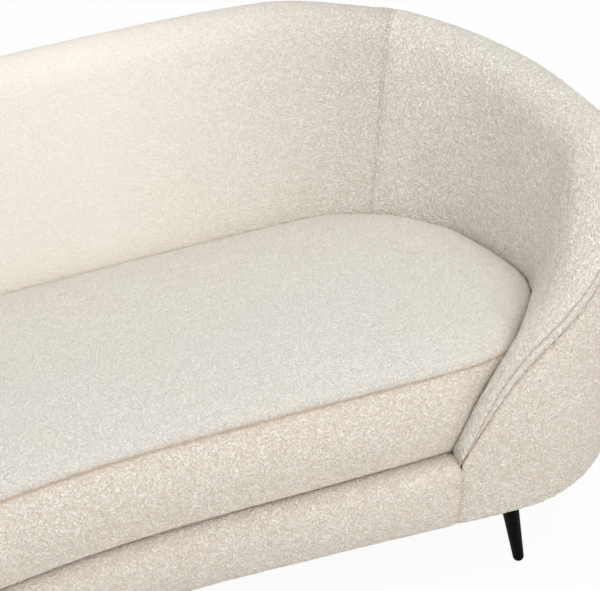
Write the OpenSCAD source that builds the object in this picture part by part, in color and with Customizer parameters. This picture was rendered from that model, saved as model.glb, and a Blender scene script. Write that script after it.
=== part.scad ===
// Curved sofa with a hollowed front, one wrapped shell for back and arms,
// a tight crowned seat and four slim splayed legs.
// Millimetres. X runs along the length, Y to the back, Z up.
// The origin is on the floor under the middle of the plan.

/* [Overall] */
// Half of the overall length
half_w = 1086; // [960:1:1200]
// Overall depth
depth = 912; // [880:1:980]
// Height of the rim at the middle of the back
back_h = 800; // [740:1:840]
// Floor to the underside of the body
leg_h = 140; // [110:1:170]

/* [Plan] */
// Radius of the nearly straight back line
back_r = 9000; // [6000:10:12000]
// Radius of each rear corner
end_r = 434; // [390:1:460]
// Radius of each front corner
corner_r = 300; // [270:1:330]
// Slope of the front beside its hollow, degrees
front_slope = 7.9; // [6:0.1:9]
// Radius of the hollow in the middle of the front
hollow_r = 2100; // [1800:10:2300]
// Distance from each end of the sofa to the tip of its arm
tip_end_gap = 459; // [410:1:520]

/* [Shell] */
// Wall from seat edge to outside at the middle of the back
back_wall = 236; // [210:1:250]
// Radius of the padded rim at the middle of the back
rim_r = 62; // [54:1:66]
// How far the underside is set in below the back rim
back_flare = 85; // [70:1:95]
// Outward bulge of the outer side panels
side_bulge = 20; // [12:1:24]
// Turn round each rear corner at which its seam stands, degrees
seam_turn = 38; // [30:1:50]

/* [Seat] */
// Height of the seam along the front edge of the seat
seat_seam_h = 430; // [415:1:445]
// Height of the crown of the seat
crown_h = 462; // [455:1:475]
// Set back of the front seam behind the outline of the base
band_inset = 50; // [40:1:56]
// Swell of the front band below the seam
band_swell = 24; // [14:1:28]
// Height of the ledge between front band and apron
ledge_h = 277; // [265:1:290]
// Height of the deck that carries the seat pad
deck_h = 372; // [360:1:380]

/* [Upholstery] */
// Thickness of the looped cover cloth
cloth_t = 3; // [2:0.5:4]
// Thickness of the cloth under the body
dust_t = 1.5; // [1:0.5:2]
// Gap between neighbouring pieces that are only laid together
ease = 0.3; // [0.2:0.05:0.4]

/* [Frame] */
// Thickness of the boards
board_t = 18; // [15:1:20]
// Height of the rail round the deck
deck_rail_h = 45; // [35:1:55]
// Width of the strengthening blocks over the legs
block_w = 26; // [24:1:30]
// Height of the blocks over the legs
block_h = 60; // [50:1:80]
// Width of each elastic strap
strap_w = 60; // [50:1:70]
// Thickness of each elastic strap
strap_t = 2; // [1.5:0.5:2.5]
// Number of straps from front to back
strap_count = 11; // [7:2:13]
// Number of straps from end to end
cross_strap_count = 3; // [2:1:4]

/* [Legs] */
// Diameter of a leg at its top
leg_top_d = 32; // [28:1:34]
// Diameter of a leg just above its rounded foot
leg_foot_d = 20; // [16:1:24]
// Distance from each end of the sofa to the top of its legs
leg_end_gap = 336; // [300:1:360]
// Splay of the legs towards the ends, degrees
leg_splay = 11.5; // [6:0.5:13]
// Diameter of the bolt that holds a leg
bolt_d = 8; // [6:1:10]
// Length of the bolt that holds a leg
bolt_l = 70; // [60:1:80]
// Side of the square steel plate over a leg
plate_w = 56; // [50:1:60]
// Thickness of the steel plate over a leg
plate_t = 3; // [2:0.5:3]

/* [Hidden] */
$fn = 16;

// Colours
cloth_colour = [0.89, 0.86, 0.80];
pad_colour = [0.93, 0.90, 0.72];
wood_colour = [0.74, 0.60, 0.42];
leg_colour = [0.08, 0.06, 0.05];
steel_colour = [0.62, 0.63, 0.65];
strap_colour = [0.30, 0.30, 0.32];
hessian_colour = [0.66, 0.55, 0.38];
dust_colour = [0.14, 0.14, 0.15];

// Places along the length
arm_tip_x = half_w - tip_end_gap;
leg_x = half_w - leg_end_gap;

// Small sizes of the upholstery
hem_r = cloth_t * 4;
seam_angle = 25;
facet_gap = cloth_t * 5 / 6;
hem_z = leg_h + dust_t + ease + hem_r;
frame_z = leg_h + dust_t + cloth_t + 2 * ease;
base_top = ledge_h - cloth_t - 3 * ease - board_t;
base_board_h = base_top - frame_z;

// Stations of the shell as shares of the way from back middle to arm tip, with
// the rise of the rim there as a share of the way from ledge to back height,
// and what each other size has there as a share of its named value
shell_station_shares = [0, 0.31, 0.45, 0.58, 0.67, 0.77, 0.85, 0.935, 0.967, 1];
rim_rise_shares = [1, 0.997, 0.937, 0.892, 0.879, 0.825, 0.589, 0.375, 0.24, 0.044];
rim_radius_shares = [1, 1, 0.97, 0.935, 0.89, 0.81, 0.71, 0.53, 0.44, 0.34];
rim_inset_shares = [0, 0, 0, 0, 0, 0.4, 0.9, 0.9, 0.45, 0.1];
flare_shares = [1, 0.94, 0.76, 0.56, 0.47, 0.26, 0.25, 0.18, 0.17, 0.165];
bulge_shares = [0.6, 0.6, 0.65, 0.7, 0.75, 0.85, 1, 0.88, 0.5, 0.2];

// Stations of the seat outline as shares of the way from back middle to
// front middle, and the shares of the back wall and of the band inset there
seat_station_shares = [0, 0.12, 0.24, 0.345, 0.45, 0.52, 0.60, 0.66,
                       0.70, 0.725, 0.745, 0.77, 0.84, 0.92, 1];
wall_shares = [1, 1.013, 1.019, 1.017, 0.89, 0.727, 0.703, 0.665,
               0.46, 0.17, 0.04, 0, 0, 0, 0];
band_shares = [0, 0, 0, 0, 0, 0, 0, 0, 0.37, 0.94, 1.21, 1.24, 1.046, 0.85, 0.83];

// Front band, from ledge to seam: heights and swell, and how much of the
// swell is left at stations given as shares of the way to the arm tip
band_height_shares = [0, 0.25, 0.5, 0.75, 1];
band_swell_shares = [1, 1.2, 1.25, 0.85, 0];
swell_station_shares = [0.94, 0.968, 0.984, 1.005, 1.12];
swell_fade_shares = [0, 0.07, 0.38, 0.75, 1];

// Plan of the outline: back line, rear corner, end, front corner, slope, hollow
back_turn = asin((half_w - end_r) / (back_r - end_r));
back_c = [0, depth / 2 - back_r];
end_c = [half_w - end_r, back_c.y + (back_r - end_r) * cos(back_turn)];
corner_c = [half_w - corner_r, corner_r - depth / 2];
slope_start = corner_c - corner_r * [sin(front_slope), cos(front_slope)];
slope_l = (slope_start.x - hollow_r * sin(front_slope)) / cos(front_slope);
slope_end = slope_start + slope_l * [-cos(front_slope), sin(front_slope)];
hollow_c = slope_end - hollow_r * [sin(front_slope), cos(front_slope)];

function arc_l(r, a) = r * a * PI / 180;
function arc_a(r, l) = l / r * 180 / PI;

s_back = arc_l(back_r, back_turn);
s_end = s_back + arc_l(end_r, 90 - back_turn);
s_side = s_end + end_c.y - corner_c.y;
s_corner = s_side + arc_l(corner_r, 90 + front_slope);
s_slope = s_corner + slope_l;
s_mid = s_slope + arc_l(hollow_r, front_slope);
s_tip = s_corner + (slope_start.x - arm_tip_x) / cos(front_slope);

// Point and outward normal on a circle, the angle measured from Y towards X
function on_arc(c, r, a) = [c.x + r * sin(a), c.y + r * cos(a), sin(a), cos(a)];
function half_path(s) =
    s < s_back ? on_arc(back_c, back_r, arc_a(back_r, s)) :
    s < s_end ? on_arc(end_c, end_r, back_turn + arc_a(end_r, s - s_back)) :
    s < s_side ? [half_w, end_c.y - (s - s_end), 1, 0] :
    s < s_corner ? on_arc(corner_c, corner_r, 90 + arc_a(corner_r, s - s_side)) :
    s < s_slope ? let (p = slope_start + (s - s_corner) * [-cos(front_slope), sin(front_slope)])
        [p.x, p.y, -sin(front_slope), -cos(front_slope)] :
    let (a = front_slope - arc_a(hollow_r, s - s_slope))
        [hollow_c.x + hollow_r * sin(a), hollow_c.y + hollow_r * cos(a), -sin(a), -cos(a)];

// Stations run clockwise from the back middle, negative ones on the left
function path(s) =
    let (
        past = abs(s) > s_mid,
        p = half_path(past ? 2 * s_mid - abs(s) : abs(s)),
        side = (s < 0 ? -1 : 1) * (past ? -1 : 1)
    ) [side * p[0], p[1], side * p[2], p[3]];

// Point at a station, moved outward by o and up to z
function at(s, o, z) = let (p = path(s)) [p[0] + o * p[2], p[1] + o * p[3], z];

// Smooth curve through values v at places t
function knot(t, x, i = 0) = i >= len(t) - 2 || x < t[i + 1] ? i : knot(t, x, i + 1);
function tangent(t, v, j) =
    j == 0 ? 0 :
    j == len(t) - 1 ? (v[j] - v[j - 1]) / (t[j] - t[j - 1]) :
    (v[j + 1] - v[j - 1]) / (t[j + 1] - t[j - 1]);
function smooth(t, v, x) =
    let (
        q = min(max(x, t[0]), t[len(t) - 1]),
        i = knot(t, q),
        h = t[i + 1] - t[i],
        u = (q - t[i]) / h
    )
    v[i] * (1 + u * u * (2 * u - 3)) + v[i + 1] * u * u * (3 - 2 * u)
    + h * u * (1 - u) * (tangent(t, v, i) * (1 - u) - tangent(t, v, i + 1) * u);
function mix(a, b, t) = a + (b - a) * t;
function dir(a) = [cos(a), sin(a)];

function half_station(s) = abs(s) > s_mid ? 2 * s_mid - abs(s) : abs(s);
function shell_size(shares, s) = smooth(shell_station_shares, shares, half_station(s) / s_tip);
function flare(s) = back_flare * shell_size(flare_shares, s);

// Inset of the seam round the seat
function seat_inset(s) =
    let (q = half_station(s) / s_mid)
    back_wall * smooth(seat_station_shares, wall_shares, q)
    + band_inset * smooth(seat_station_shares, band_shares, q);
// Inset of the front band at height z
function band_face(s, z) =
    let (v = (z - ledge_h) / (seat_seam_h - ledge_h))
    seat_inset(s) - band_swell * smooth(band_height_shares, band_swell_shares, v)
    * smooth(swell_station_shares, swell_fade_shares, half_station(s) / s_tip);

// Section of the shell at a station, in outward distance and height
function section(s) =
    let (
        full_r = rim_r * shell_size(rim_radius_shares, s),
        inset = side_bulge * shell_size(rim_inset_shares, s),
        top = mix(ledge_h, back_h, shell_size(rim_rise_shares, s)),
        room = band_face(s, min(seat_seam_h, top - full_r)) - inset - facet_gap,
        r = min(full_r, room / 2),
        c = [-r - inset, top - r],
        foot_z = min(seat_seam_h, c.y - r * drop_share),
        foot = [facet_gap - band_face(s, foot_z), foot_z],
        tuck_z = foot_z - r * tuck_share,
        tuck = [facet_gap - band_face(s, tuck_z), tuck_z],
        low = [-flare(s) - hem_r, hem_z],
        v = foot - c,
        w = c - low,
        a_in = (atan2(v.y, v.x) + 360) % 360 - acos(min(1, r / norm(v))),
        a_out = atan2(w.y, w.x) - acos((hem_r - r) / norm(w))
    ) [foot, c, r, a_in, a_out, low, side_bulge * shell_size(bulge_shares, s), tuck];

// Point of a section: u below 0 on the tuck, to 1 on the inner face, to 2 round
// the rim, to 3 down the outer face, to 4 round the hem, at a depth under the cloth
function shell_point(k, u, d) =
    let (foot = k[0], c = k[1], r = k[2], n_in = dir(k[3]), n_out = dir(k[4]), low = k[5])
    u < 0 ? mix(foot, k[7], -u) - d * n_in :
    u < 1 ? mix(foot, c + r * n_in, u) - d * n_in :
    u <= 2 ? c + (r - d) * dir(mix(k[3], k[4], u - 1)) :
    u <= 3 ? let (t = u - 2)
        mix(c + r * n_out, low + hem_r * n_out, t) + (k[6] * 4 * t * (1 - t) - d) * n_out :
    low + (hem_r - d) * dir(mix(k[4], -90, u - 3));
tuck_share = 0.2;
drop_share = 0.15;
function seam_u(k, a = seam_angle) = 1 + (k[3] - a) / (k[3] - k[4]);

function put(s, p) = at(s, p.x, p.y);
function inner_us(k) = let (e = seam_u(k))
    concat([-1, 0, 1 / 2], [for (j = [0:5]) mix(1, e, j / 5)]);
function pad_us(k) = let (e = seam_u(k))
    concat([0, 1 / 2], [for (j = [0:5]) mix(1, e, j / 5)]);
function outer_us(k) = let (e = seam_u(k, seam_angle - arc_a(k[2], ease)))
    [e, 2, 2.3, 2.65, 3, 3.5, 4];
function inner_grid(stations, d) =
    [for (s = stations) let (k = section(s)) [for (u = inner_us(k)) put(s, shell_point(k, u, d))]];
function pad_grid(stations, share, extra = 0) =
    [for (s = stations) let (k = section(s), d = cloth_t + ease + extra + share * k[2])
        [for (u = pad_us(k)) put(s, shell_point(k, u, d))]];
function outer_grid(stations, d) =
    [for (s = stations) let (k = section(s)) [for (u = outer_us(k)) put(s, shell_point(k, u, d))]];
pad_share = 0.5;

function span(a, b, n) = [for (i = [0:n]) mix(a, b, i / n)];
function flat(rows) = [for (row = rows) each row];

// Closed skin between two grids of points that lie over each other
module slab(a, b) {
    n = len(a);
    m = len(a[0]);
    k = n * m;
    polyhedron(flat(concat(a, b)), concat(
        [for (i = [0:n - 2], j = [0:m - 2]) let (p = i * m + j) each
            [[p, p + 1, p + m + 1], [p, p + m + 1, p + m],
             [k + p, k + p + m + 1, k + p + 1], [k + p, k + p + m, k + p + m + 1]]],
        [for (j = [0:m - 2]) let (p = (n - 1) * m + j) each
            [[j + 1, j, k + j], [j + 1, k + j, k + j + 1],
             [p, p + 1, k + p + 1], [p, k + p + 1, k + p]]],
        [for (i = [0:n - 2]) let (p = i * m, q = p + m - 1) each
            [[p, p + m, k + p + m], [p, k + p + m, k + p],
             [q + m, q, k + q], [q + m, k + q, k + q + m]]]
    ));
}

// Closed skin through a row of loops, with flat caps on the first and the last,
// each cap given as faces of one loop
module loft(loops, cap) {
    n = len(loops[0]);
    last = (len(loops) - 1) * n;
    polyhedron(flat(loops), concat(
        [for (face = cap) [for (i = [len(face) - 1:-1:0]) face[i]]],
        [for (face = cap) [for (i = face) last + i]],
        [for (k = [0:len(loops) - 2], i = [0:n - 1])
            let (p = k * n + i, q = k * n + (i + 1) % n) each
            [[p, q, q + n], [p, q + n, p + n]]]
    ));
}

// Where a rising value first passes zero
function find(f, lo, hi, n = 30) =
    let (m = (lo + hi) / 2)
    n == 0 ? m : f(m) > 0 ? find(f, lo, m, n - 1) : find(f, m, hi, n - 1);
function y_rear(x, inset) =
    let (s = find(function (t) at(t, -inset(t), 0).x - x, 0, s_end)) at(s, -inset(s), 0).y;
function y_front(x, inset) =
    let (s = find(function (t) x - at(t, -inset(t), 0).x, s_side, s_mid)) at(s, -inset(s), 0).y;

// Lines that the frame follows, as insets from the outline
base_line = function (s) flare(s) + hem_r + facet_gap;
base_inner_line = function (s) base_line(s) + board_t;
block_line = function (s) base_line(s) + (board_t + block_w) / 2;
front_line = function (s) base_line(s) + board_t + block_w;
front_inner_line = function (s) front_line(s) + board_t;
deck_gap = 2 * cloth_t;
deck_line = function (s) seat_inset(s) + deck_gap;
deck_mid_line = function (s) deck_line(s) + board_t / 2;

// Frame boards start and end on a common row of stations, so that they meet
board_steps = 112;
board_step = s_mid / board_steps;
block_steps = 2;
function station_at(x, inset, lo, hi, sign) =
    find(function (t) sign * (at(t, -inset(t), 0).x - x), lo, hi);
function path_turn(s) = let (p = path(s)) atan2(p[3], p[2]) - 90;
front_leg_s = station_at(leg_x, block_line, s_side, s_mid, -1);
front_leg_turn = path_turn(front_leg_s) + 180;
front_leg_step = round(front_leg_s / board_step);
rear_leg_s = station_at(leg_x, block_line, 0, s_end, 1);
rear_leg_turn = path_turn(rear_leg_s);
rear_leg_step = round(rear_leg_s / board_step);
tip_step = ceil(s_tip / board_step);

module ring_board(i1, i2, inset, t, z1, z2)
    translate([0, 0, z1])
        linear_extrude(height = z2 - z1)
            polygon(concat(
                [for (i = [i1:i2]) let (s = i * board_step, p = at(s, -inset(s), 0)) [p.x, p.y]],
                [for (i = [i2:-1:i1]) let (s = i * board_step, p = at(s, -inset(s) - t, 0)) [p.x, p.y]]
            ));

module left() mirror([1, 0, 0]) children();

// Legs
leg_rear_y = at(rear_leg_s, -block_line(rear_leg_s), 0).y;
leg_front_y = at(front_leg_s, -block_line(front_leg_s), 0).y;
plate_z = frame_z - plate_t;
leg_flat_drop = leg_foot_d / 12;
module leg_axis(y, z = leg_h)
    translate([leg_x, y, leg_h])
        rotate([0, -leg_splay, 0])
            translate([0, 0, z - leg_h])
                children();
module leg(y)
    color(leg_colour)
        difference() {
            intersection() {
                leg_axis(y) leg_blank();
                translate([0, y - leg_h, 0]) cube([2 * leg_x, 2 * leg_h, plate_z]);
            }
            leg_axis(y) bolt_hole();
        }
leg_l = leg_h / cos(leg_splay) - leg_foot_d / 2 + leg_flat_drop;
module leg_blank()
    rotate_extrude()
        union() {
            polygon([[0, leg_top_d / 2], [leg_top_d / 2, leg_top_d / 2],
                     [leg_top_d / 2, 0], [leg_foot_d / 2, -leg_l], [0, -leg_l]]);
            intersection() {
                translate([0, -leg_l]) circle(d = leg_foot_d);
                translate([0, -leg_l - leg_foot_d]) square(leg_foot_d);
            }
        }
module bolt_hole() cylinder(d = bolt_d + 2 * ease, h = bolt_l + 2 * ease, center = true);
module bolt() cylinder(d = bolt_d, h = bolt_l, center = true);

module leg_front_right() leg(leg_front_y);
module leg_front_left() left() leg_front_right();
module leg_rear_right() leg(leg_rear_y);
module leg_rear_left() left() leg_rear_right();

module each_leg() {
    for (y = [leg_front_y, leg_rear_y]) {
        translate([0, y, 0]) children();
        left() translate([0, y, 0]) children();
    }
}
module each_plate() {
    for (leg = [[leg_front_y, front_leg_turn], [leg_rear_y, rear_leg_turn]]) {
        translate([leg_x, leg[0], plate_z]) rotate([0, 0, leg[1]]) children();
        left() translate([leg_x, leg[0], plate_z]) rotate([0, 0, leg[1]]) children();
    }
}
module leg_bolts() color(steel_colour) each_leg() leg_axis(0) bolt();

// Screws of a plate stand near its corners
screw_d = plate_t * 4 / 3;
screw_sides = 12;
screw_l = block_h / 2;
screw_place = (plate_w - 3 * screw_d) / 2;
plate_depth = board_t + block_w - hem_r * 2 / 3;
screw_side = (plate_depth - 3 * screw_d) / 2;
module each_screw()
    for (x = [-screw_place, screw_place], y = [-screw_side, screw_side])
        translate([x, y, 0])
            children();
module screw(gap = 0) {
    cylinder(d1 = 2 * screw_d + 2 * gap, d2 = screw_d + 2 * gap, h = plate_t, $fn = screw_sides);
    cylinder(d = screw_d + 2 * gap, h = screw_l + gap, $fn = screw_sides);
}
module leg_plates()
    color(steel_colour)
        difference() {
            each_plate()
                difference() {
                    translate([-plate_w / 2, -plate_depth / 2, 0])
                        cube([plate_w, plate_depth, plate_t]);
                    each_screw() screw(ease);
                }
            each_leg() leg_axis(0) bolt_hole();
        }
module plate_screws() color(steel_colour) each_plate() each_screw() screw();

module leg_block(step, y, turn)
    color(wood_colour)
        difference() {
            ring_board(step - block_steps, step + block_steps, base_line, board_t + block_w,
                       frame_z, frame_z + block_h);
            leg_axis(y) bolt_hole();
            translate([leg_x, y, plate_z]) rotate([0, 0, turn]) each_screw() screw(ease);
        }
module leg_block_front_right() leg_block(front_leg_step, leg_front_y, front_leg_turn);
module leg_block_front_left() left() leg_block_front_right();
module leg_block_rear_right() leg_block(rear_leg_step, leg_rear_y, rear_leg_turn);
module leg_block_rear_left() left() leg_block_rear_right();

// Base boards
module apron_board()
    color(wood_colour)
        ring_board(front_leg_step + block_steps, 2 * board_steps - front_leg_step - block_steps,
                   base_line, board_t, frame_z, base_top);
module ledge_board()
    color(wood_colour)
        ring_board(tip_step, 2 * board_steps - tip_step, ledge_line, ledge_board_w,
                   base_top, base_top + board_t);
ledge_line = function (s) base_line(s) + 2 * cloth_t;
ledge_board_w = board_t + block_w - 2 * cloth_t - ease;
module front_rail()
    color(wood_colour)
        for (part = [[-block_steps, frame_z, base_top], [2 * block_steps, base_top, deck_h]])
            let (first = front_leg_step + part[0])
                ring_board(first, 2 * board_steps - first, front_line, board_t, part[1], part[2]);
module rear_board()
    color(wood_colour)
        ring_board(block_steps - rear_leg_step, rear_leg_step - block_steps, base_line, board_t,
                   frame_z, base_top);
module end_board_right()
    color(wood_colour)
        ring_board(rear_leg_step + block_steps, front_leg_step - block_steps, base_line, board_t,
                   frame_z, base_top);
module end_board_left() left() end_board_right();

// Straight rails across the base, their ends cut to the boards they meet
module cross_rail(x)
    color(wood_colour)
        translate([0, 0, frame_z])
            linear_extrude(height = base_board_h)
                polygon([
                    for (e = [-1, 1]) let (q = x + e * board_t / 2) [q, y_front(q, front_inner_line) + ease],
                    for (e = [1, -1]) let (q = x + e * board_t / 2) [q, y_rear(q, base_inner_line) - ease]
                ]);
cross_outer_x = leg_x - plate_w * 2;
cross_inner_x = cross_outer_x / 3;
module cross_rail_outer_right() cross_rail(cross_outer_x);
module cross_rail_inner_right() cross_rail(cross_inner_x);
module cross_rail_outer_left() left() cross_rail_outer_right();
module cross_rail_inner_left() left() cross_rail_inner_right();

// Deck
module rear_deck_rail()
    color(wood_colour)
        ring_board(2 * block_steps - rear_leg_step, rear_leg_step - 2 * block_steps,
                   deck_line, board_t, deck_h - deck_rail_h, deck_h);
module end_deck_rail_right()
    color(wood_colour)
        ring_board(rear_leg_step - 2 * block_steps, front_leg_step, deck_line, board_t,
                   deck_h - deck_rail_h, deck_h - strap_t);
module end_deck_rail_left() left() end_deck_rail_right();

strap_reach = cross_outer_x - strap_w;
module seat_straps()
    color(strap_colour)
        for (k = [0:strap_count - 1]) {
            x = mix(-strap_reach, strap_reach, k / (strap_count - 1));
            edge = abs(x) + strap_w / 2;
            y1 = max(y_front(abs(x), front_line), y_front(max(0, edge - strap_w), front_line)) + ease;
            y2 = y_rear(edge, deck_line) - ease;
            translate([x - strap_w / 2, y1, deck_h])
                cube([strap_w, y2 - y1, strap_t]);
        }
module cross_straps()
    color(strap_colour)
        for (k = [0:cross_strap_count - 1]) {
            y = mix(y_front(0, front_inner_line) + strap_w, y_rear(0, deck_mid_line) - strap_w * 3 / 2,
                    cross_strap_count > 1 ? k / (cross_strap_count - 1) : 1 / 2);
            s = find(function (t) y - at(t, -deck_mid_line(t), 0).y, s_back, s_corner);
            x = at(s, -deck_mid_line(s), 0).x;
            translate([-x, y - strap_w / 2, deck_h - strap_t])
                cube([2 * x, strap_w, strap_t]);
        }

// Stations of the upholstery
s_seam = s_back + arc_l(end_r, seam_turn);
back_half = concat([for (j = [1:4]) s_back * j / 4], [for (j = [1:6]) mix(s_back, s_seam, j / 6)]);
back_stations = concat([for (i = [len(back_half) - 1:-1:0]) -back_half[i]], [0], back_half);
wing_stations = concat(span(s_seam, s_end, 6), [(s_end + s_side) / 2], span(s_side, s_tip, 13));

// Ribs of board, standing square to the outline on the base boards
hessian_t = cloth_t / 2;
rib_slack = 4 / 5 * cloth_t;
rib_knee_share = 0.6;
function rail_r(k) = (k[2] * (1 - pad_share) - cloth_t - hessian_t - 2 * ease) * rail_fit_share;
rail_fit_share = 0.92;
function rib_sections(s) = [for (e = [-1, 0, 1]) section(s + e * board_t)];
function rib_inner(ks, z, d) =
    max([for (k = ks)
        let (
            a = shell_point(k, 0, d + pad_share * k[2]),
            b = shell_point(k, 1, d + pad_share * k[2])
        ) mix(a.x, b.x, (z - a.y) / (b.y - a.y))]);
function rib_outer(ks, z, d) =
    min([for (k = ks)
        let (a = shell_point(k, 2, d), b = shell_point(k, 3, d))
        shell_point(k, 2 + (a.y - z) / (a.y - b.y), d).x]);
module rib(s) {
    ks = rib_sections(s);
    k = ks[1];
    d_in = cloth_t + 3 * ease + hessian_t;
    d_out = cloth_t + rib_slack;
    z_top = min([for (e = [-1, 0, 1]) let (q = section(s + e * board_t / 2)) q[1].y - rail_r(q)])
        - 2 * ease;
    z_low = min(k[0].y, mix(deck_h, z_top, rib_knee_share));
    x_low = rib_inner(ks, z_low, d_in);
    deck_x = 2 * ease - min([for (e = [-1, 0, 1]) deck_line(s + e * board_t)]);
    p = path(s);
    color(wood_colour)
        translate([p[0], p[1], 0])
            rotate([0, 0, atan2(p[3], p[2])])
                rotate([90, 0, 0])
                    linear_extrude(height = board_t, center = true)
                        polygon(concat(
                            [[deck_x, base_top], [deck_x, deck_h - strap_t], [x_low, deck_h - strap_t],
                             [x_low, z_low], [rib_inner(ks, z_top, d_in), z_top]],
                            [for (z = span(z_top, base_top, 4)) [rib_outer(ks, z, d_out), z]]
                        ));
}
module back_rib_centre() rib(0);
module back_rib_right_1() rib(back_half[1]);
module back_rib_right_2() rib(back_half[3]);
module back_rib_left_1() left() back_rib_right_1();
module back_rib_left_2() left() back_rib_right_2();
module end_rib_right_1() rib(back_half[7]);
module end_rib_right_2() rib(wing_stations[3]);
module end_rib_left_1() left() end_rib_right_1();
module end_rib_left_2() left() end_rib_right_2();
module arm_rib_right_1() rib(wing_stations[9]);
module arm_rib_right_2() rib(wing_stations[15]);
module arm_rib_left_1() left() arm_rib_right_1();
module arm_rib_left_2() left() arm_rib_right_2();

// Eight sided rail inside the rim
module rim_rail(stations)
    color(wood_colour)
        loft([for (s = stations) let (k = section(s))
            [for (a = [180:-45:-135]) put(s, k[1] + rail_r(k) * dir(a))]], [[for (i = [0:7]) i]]);
module rim_rail_centre() rim_rail(back_stations);
module rim_rail_right() rim_rail([for (i = [0:16]) side_stations[i]]);
module rim_rail_left() left() rim_rail_right();

module back_hessian()
    color(hessian_colour)
        slab(hessian_grid(0), hessian_grid(hessian_t));
function hessian_grid(d) =
    [for (s = back_stations) let (k = section(s), e = cloth_t + 2 * ease + d + pad_share * k[2])
        [for (u = [0.04, 1 / 2, 0.94]) put(s, shell_point(k, u, e))]];

// Seat: rings from the seam inwards to the flat of the crown
crown_w = rim_r * 7 / 4;
ring_shares = [0, 0.1, 0.34, 1];
rise_shares = [0, 0.5, 0.83, 1];
ring_tilts = [0, 50, 80, 90];
seat_half = concat(span(0, 0.2, 2), span(0.27, 0.67, 8), span(0.69, 0.78, 5), span(0.84, 1, 3));
seat_stations = s_mid * concat([for (i = [len(seat_half) - 2:-1:1]) -seat_half[i]], seat_half);
function seat_ring(j, d) =
    [for (s = seat_stations)
        at(s, -seat_inset(s) - ease - crown_w * ring_shares[j] - d * cos(ring_tilts[j]),
           seat_seam_h + ease + (crown_h - seat_seam_h) * rise_shares[j] - d * sin(ring_tilts[j]))];
// Cap of a ring in rungs, from each station at the back to its partner in front
function rung_face(j, n, side) =
    let (q = [for (i = side > 0 ? [j, j + 1, n - 2 - j, n - 1 - j] : [j, n - 1 - j, n - 2 - j, j + 1])
        (n - 2 + side * i + 2 * n - 2) % (2 * n - 2)])
    [[q[0], q[1], q[2]], [q[0], q[2], q[3]]];
seat_cap = let (n = len(seat_half)) [for (side = [-1, 1], j = [0:n / 2 - 2]) each rung_face(j, n, side)];
module seat_cover()
    color(cloth_colour)
        loft(concat([for (j = [3:-1:0]) seat_ring(j, cloth_t)], [for (j = [0:3]) seat_ring(j, 0)]), seat_cap);
pad_depth = cloth_t * 5 / 2;
module seat_pad()
    color(pad_colour)
        loft(concat(
            [[for (p = seat_ring(0, pad_depth)) [p.x, p.y, deck_h + strap_t + ease]]],
            [seat_ring(0, pad_depth)],
            [for (j = [1:3]) seat_ring(j, cloth_t + 3 * ease)]
        ), seat_cap);

// Front band, ending on the slanting edge of each arm
band_column_shares = concat(span(0, 0.12, 5), span(0.18, 0.82, 10), span(0.88, 1, 5));
function band_end(z) = find(function (s) z - section(s)[1].y, s_tip * 4 / 5, s_tip) + ease;
function band_grid(zs, d, back) =
    let (ends = [for (z = zs) band_end(z)])
    [for (q = band_column_shares)
        [for (j = [0:len(zs) - 1])
            let (s = mix(ends[j], 2 * s_mid - ends[j], q))
            at(s, back ? ease - front_line(s) : -band_face(s, zs[j]) - d, zs[j])]];
module band_cover()
    color(cloth_colour) {
        zs = [for (v = [1:-0.25:0]) mix(ledge_h + ease, seat_seam_h - ease, v)];
        slab(band_grid(zs, 0, false), band_grid(zs, cloth_t, false));
    }
module band_pad()
    color(pad_colour) {
        zs = [for (v = [1, 0.5, 0]) mix(ledge_h + ease, deck_h - ease, v)];
        slab(band_grid(zs, pad_depth + cloth_t / 2, false), band_grid(zs, 0, true));
    }

// Apron, a section like the shell's with a level ledge in place of the wall
nose_r = hem_r * 17 / 6;
function apron_section(s) =
    let (
        c = [-nose_r, ledge_h - nose_r],
        low = [-flare(s) - hem_r, hem_z],
        w = c - low
    ) [[2 * ease - front_line(s), ledge_h], c, nose_r, 90,
       atan2(w.y, w.x) - acos((hem_r - nose_r) / norm(w)), low, side_bulge / 4];
apron_stations = span(s_tip + ease, 2 * s_mid - s_tip - ease, 20);
function apron_grid(us, d) =
    [for (s = apron_stations) let (k = apron_section(s)) [for (u = us) put(s, shell_point(k, u, d))]];
module apron_cover()
    color(cloth_colour) {
        us = [0, 1, 1.5, 2, 2.5, 3, 3.5, 4];
        slab(apron_grid(us, 0), apron_grid(us, cloth_t));
    }
module apron_pad()
    color(pad_colour) {
        front = apron_grid([1.5, 2, 2.5, 3], cloth_t + ease);
        slab(front, [for (i = [0:len(apron_stations) - 1]) let (s = apron_stations[i])
            [for (p = front[i]) at(s, ease - base_line(s), p.z)]]);
    }

// Pads and covers of the shell
module shell_pad(stations, extra)
    color(pad_colour) slab(pad_grid(stations, 0), pad_grid(stations, pad_share, extra));
module inner_cover(stations)
    color(cloth_colour) slab(inner_grid(stations, 0), inner_grid(stations, cloth_t));
module outer_cover(stations)
    color(cloth_colour) slab(outer_grid(stations, 0), outer_grid(stations, cloth_t));
side_stations = [for (i = [0:len(wing_stations) - 1]) wing_stations[i] + (i == 0 ? ease : 0)];
module back_pad() shell_pad(back_stations, 0);
module wing_pad_right() shell_pad(side_stations, hessian_t + ease);
module wing_pad_left() left() wing_pad_right();
module inner_back_cover() inner_cover(back_stations);
module inner_wing_cover_right() inner_cover(side_stations);
module inner_wing_cover_left() left() inner_wing_cover_right();
module outer_back_cover() outer_cover(back_stations);
module side_cover_right() outer_cover(side_stations);
module side_cover_left() left() side_cover_right();

module dust_cover()
    color(dust_colour)
        translate([0, 0, leg_h])
            difference() {
                linear_extrude(height = dust_t)
                    polygon([for (s = seat_stations) let (p = at(s, -flare(s) - hem_r * 3 / 4, 0)) [p.x, p.y]]);
                each_leg()
                    translate([leg_x, 0, -dust_t])
                        cylinder(d = leg_top_d * 5 / 4, h = 3 * dust_t);
            }

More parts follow.
